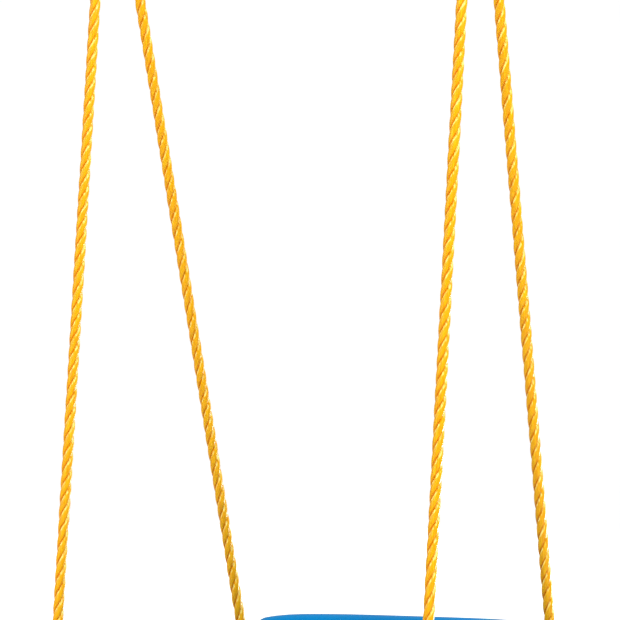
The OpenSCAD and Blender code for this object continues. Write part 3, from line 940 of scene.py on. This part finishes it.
def gate_rivet(sn, x0):
    """A headed rivet, the same at both ends."""
    half = [(0.01, -4.9), (1.6, -4.8), (2.4, -4.4), (2.5, -3.9), (1.5, -3.85)]
    b = Build()
    lathe(b, half + [(r, -h) for r, h in half[::-1]], (x0, 0, RIVET_Z), (0, 1, 0), 24)
    keep(b, f"gate_rivet_{sn}_headed", "stainless", "ropes_" + sn, "gate_rivet_" + sn, sharp=40)


def rope_ring(sn, ox):
    """One closed bent wire: a straight bar with round corners, under a half circle."""
    c, top_r = RING_CORNER, RING_BAR + RING_CORNER
    Q = [(y, BAR_Z) for y in np.linspace(-RING_BAR, RING_BAR, 12)]
    Q += circle(c, -90, 0, 8, (RING_BAR, BAR_Z + c))[1:]
    Q += circle(top_r, 0, 180, 28, (0, BAR_Z + RING_H - top_r))
    Q += circle(c, 180, 270, 8, (-RING_BAR, BAR_Z + c))[:-1]
    P = np.array([(ox, y, z) for y, z in Q])
    T = np.roll(P, -1, 0) - np.roll(P, 1, 0)
    T /= np.linalg.norm(T, axis=1)[:, None]
    X = np.array([1.0, 0, 0])
    wire = circle(WIRE / 2, n=24, last=False)
    b = Build()
    b.grid([[p + x * X + y * np.cross(t, X) for x, y in wire] for p, t in zip(P, T)], loop=True)
    keep(b, f"rope_ring_{sn}_bent", "stainless", "ropes_" + sn, "rope_ring_" + sn, sharp=40)


for sn, s in SIDES.items():
    hanger_x = s * SPACING / 2
    snap_hook(sn, s, hanger_x)
    snap_gate(sn, hanger_x - s * HOOK_R)
    gate_rivet(sn, hanger_x - s * HOOK_R)
    rope_ring(sn, hanger_x)

# ---------------------------------------------------------------- hangers

# turns a plate's XY plane to face along X
SIDEWAYS = Matrix(((0, 0, 1, 0), (1, 0, 0, 0), (0, 1, 0, 0), (0, 0, 0, 1)))


def welds(ox, half=21.0, steps=22):
    """A slightly wavy fillet along the foot of each cheek, on its inner side."""
    b = Build()
    for x in (-1, 1):
        fillet = [(0, 0), (-x * 3.2, 0), (-x * 1.7, -0.5), (-x * 0.6, -1.5), (0, -3.2)]
        foot_x, foot_z = ox + x * (CHEEK_IN + 0.2), 0.2 - BRACKET_T
        rings = []
        for i in range(steps + 1):
            k = 1 + 0.10 * math.sin(i * 2.4) if 0 < i < steps else 0.2
            y = half * (2 * i / steps - 1)
            rings.append([(foot_x + q[0] * k, y, foot_z + q[1] * k) for q in fillet])
        b.grid(rings[::-x])
    return b.piece("weld", MAT["powder"], 50)


def bracket(sn, ox):
    """A top plate with two bolt holes, two cheeks for the hinge pin, and their welds."""
    w, h = BRACKET_W / 2, BRACKET_HALF
    loops = [round_poly([(-w, -h), (w, -h), (w, h), (-w, h)], CORNER_R)]
    loops += [hole(BOLT_HOLE / 2, 32, (0, y)) for y in (-BOLTS / 2, BOLTS / 2)]
    M = Matrix.Translation((ox * MM, 0, -BRACKET_T / 2 * MM))
    plates = [plate("bracket_top", loops, BRACKET_T, M, MAT["powder"], 0.8)]
    cheek = [(-CHEEK_TOP, -1.0)] + circle(CHEEK_R, 196, 344, 24, (0, PIN_Z)) + [(CHEEK_TOP, -1.0)]
    loops = [cheek, hole(PIN_D / 2 + 0.05, c=(0, PIN_Z))]
    for x in (-1, 1):
        M = Matrix.Translation(((ox + x * (CHEEK_IN + BRACKET_T / 2)) * MM, 0, 0)) @ SIDEWAYS
        plates.append(plate("bracket_cheek", loops, BRACKET_T, M, MAT["powder"], 0.7))
    plates.append(welds(ox))
    chosen = {"active_object": plates[0], "object": plates[0]}
    with bpy.context.temp_override(**chosen, selected_objects=plates, selected_editable_objects=plates):
        bpy.ops.object.join()
    plates[0].name = f"hanger_bracket_{sn}_welded"
    finish_piece(plates[0], "hangers", "powder", "hanger_bracket_" + sn)


def hexagon(b, rows, origin, axis):
    """A hexagon's chamfered body, from [scale, height] rows."""
    corners = circle(HEX / 2, n=6, last=False)
    b.grid([place([(x * k, y * k, h) for x, y in corners], origin, axis) for k, h in rows])


def hinge_bolt(sn, at, axis):
    """A shank with a thread's crest past the nut, and a hexagon head with its crown and its washer face."""
    w, r = BRACKET_W / 2, PIN_D / 2
    b = Build()
    shank = [(r, -w - 1), (r, w + 0.5), (4.6, w + 1), (4.5, w + 9.6), (4.95, w + 10.1), (4.0, w + 11)]
    lathe(b, shank, at, axis, 40)
    hexagon(b, [(0.93, -w - 6.6), (1.0, -w - 6.0), (1.0, -w - 0.7), (0.97, -w - 0.2)], at, axis)
    lathe(b, [(0.01, -w - 6.9), (7.4, -w - 6.9), (7.9, -w - 6.5), (7.9, -w - 6.3)], at, axis, 40)
    lathe(b, [(HEX / 2, -w - 1.2), (HEX / 2, -w - 0.1)], at, axis, 40)
    keep(b, f"hanger_pin_{sn}_bolt", "zinc", "hangers", "hanger_pin_" + sn)


def lock_nut(sn, at, axis):
    """A hexagon nut with a round locking collar."""
    w = BRACKET_W / 2
    b = Build()
    hexagon(b, [(0.96, w + 0.2), (1.0, w + 0.7), (1.0, w + 6.6), (0.95, w + 7.2)], at, axis)
    collar = [(5.05, w + 7.0), (7.4, w + 7.0), (7.4, w + 8.9)]
    collar += [(7.0, w + 9.5), (5.6, w + 9.5), (5.05, w + 9.1)]
    lathe(b, collar, at, axis, 40, closed=True)
    keep(b, f"hanger_nut_{sn}_locking", "zinc", "hangers", "hanger_nut_" + sn)


def spacers(sn, at):
    """A nylon washer at each end of the link's bush."""
    h0, h1 = BUSH_HALF + GAP, CHEEK_IN - 0.1
    profile = [(5.05, h0), (10.8, h0), (11, h0 + 0.2), (11, h1 - 0.2), (10.8, h1), (5.05, h1)]
    b = Build()
    for k in (-1, 1):
        lathe(b, profile, at, (k, 0, 0), 40, closed=True)
    keep(b, f"hanger_washers_{sn}_pair", "pale", "hangers", "hanger_washers_" + sn)


def link(sn, ox):
    """A flat plate, narrower at the hinge pin than round the hook's hole."""
    outline = circle(LINK_TOP_R, 2, 178, 28, (0, PIN_Z)) + circle(LINK_LOW_R, 178, 362, 30, (0, LINK_HOLE_Z))
    loops = [outline, hole(BUSH_R + 0.02, c=(0, PIN_Z)), hole(WIRE / 2 + 5, c=(0, LINK_HOLE_Z))]
    M = Matrix.Translation((ox * MM, 0, 0)) @ SIDEWAYS
    ob = plate(f"hanger_link_{sn}_plate", loops, LINK_T, M, MAT["zinc"], 0.9)
    finish_piece(ob, "link_" + sn, "zinc", "hanger_link_" + sn, slot="link_steel")


def link_bush(sn, at):
    """A nylon tube with eased edges, the same at both ends."""
    h = BUSH_HALF
    half = [(5.05, 0.3 - h), (5.4, -h), (BUSH_R - 0.4, -h), (BUSH_R, 0.4 - h)]
    b = Build()
    lathe(b, half + [(r, -z) for r, z in half[::-1]], at, (1, 0, 0), 40, closed=True)
    keep(b, f"hanger_bush_{sn}_turned", "nylon", "link_" + sn, "hanger_bush_" + sn)


for sn, s in SIDES.items():
    hanger_x = s * SPACING / 2
    pin_at = (hanger_x, 0, PIN_Z)
    bracket(sn, hanger_x)
    hinge_bolt(sn, pin_at, (s, 0, 0))
    lock_nut(sn, pin_at, (s, 0, 0))
    spacers(sn, pin_at)
    link(sn, hanger_x)
    link_bush(sn, pin_at)

# ---------------------------------------------------------------- floor, backdrop and lights

# lights: place and target in metres, width in metres, power in watts
LIGHTS = {
    "key": ((2.1, -0.5, 1.6), (0, 0, -0.7), 0.9, 92),
    "fill": ((-1.6, -3.0, 0.4), (0, 0, -0.7), 2.0, 56),
    "back": ((0.6, 3.0, -1.3), (0, 0, -0.8), 0.5, 55),
}


def floor(half=9000.0):
    """A pale floor that looks as bright as the backdrop and throws little light on what hangs above it."""
    m = Mat("pale_floor", Roughness=0.9, Emission_Color=(1, 1, 1, 1))
    ray = m.node("ShaderNodeLightPath")
    m.into(m.range(ray.outputs["Is Camera Ray"], 0.05, 0.85, 0, 1), "Emission Strength")
    m.into(m.ramp(m.noise(0.6, 3), [(0.3, (0.86, 0.86, 0.86)), (0.7, (0.9, 0.9, 0.9))]), "Base Color")
    corners = [(x * half, y * half, GROUND) for x, y in ((-1, -1), (1, -1), (1, 1), (-1, 1))]
    mesh_piece("floor", corners, [(0, 1, 2, 3)], m.m)


def backdrop():
    """A white world that lights more from above than from below."""
    w = bpy.data.worlds.new("studio")
    scene.world = w
    w.use_nodes = True
    bg = w.node_tree.nodes["Background"]
    bg.inputs["Color"].default_value = (1, 1, 1, 1)
    nodes, links = w.node_tree.nodes, w.node_tree.links
    where, up = nodes.new("ShaderNodeTexCoord"), nodes.new("ShaderNodeSeparateXYZ")
    glow, ray, mix = (nodes.new("ShaderNode" + kind) for kind in ("MapRange", "LightPath", "Mix"))
    for socket, value in (("From Min", -0.1), ("From Max", 0.8), ("To Min", 0.16), ("To Max", 0.66)):
        glow.inputs[socket].default_value = value
    mix.inputs["B"].default_value = 1.02
    links.new(where.outputs["Generated"], up.inputs["Vector"])
    links.new(up.outputs["Z"], glow.inputs["Value"])
    links.new(ray.outputs["Is Camera Ray"], mix.inputs["Factor"])
    links.new(glow.outputs["Result"], mix.inputs["A"])
    links.new(mix.outputs["Result"], bg.inputs["Strength"])


def light(name, at, target, size, power):
    """A round soft light that faces its target."""
    d = bpy.data.lights.new(name, "AREA")
    d.shape = "DISK"
    d.size, d.energy = size, power
    o = bpy.data.objects.new(name, d)
    scene.collection.objects.link(o)
    z = unit(np.subtract(at, target))
    x = unit(np.cross((0, 0, 1), z))
    o.matrix_world = pose(x, np.cross(z, x), z, at)


floor()
backdrop()
for name, settings in LIGHTS.items():
    light(name, *settings)
scene.view_settings.view_transform = "Standard"
scene.view_settings.look = "None"
scene.view_settings.exposure = 0.0
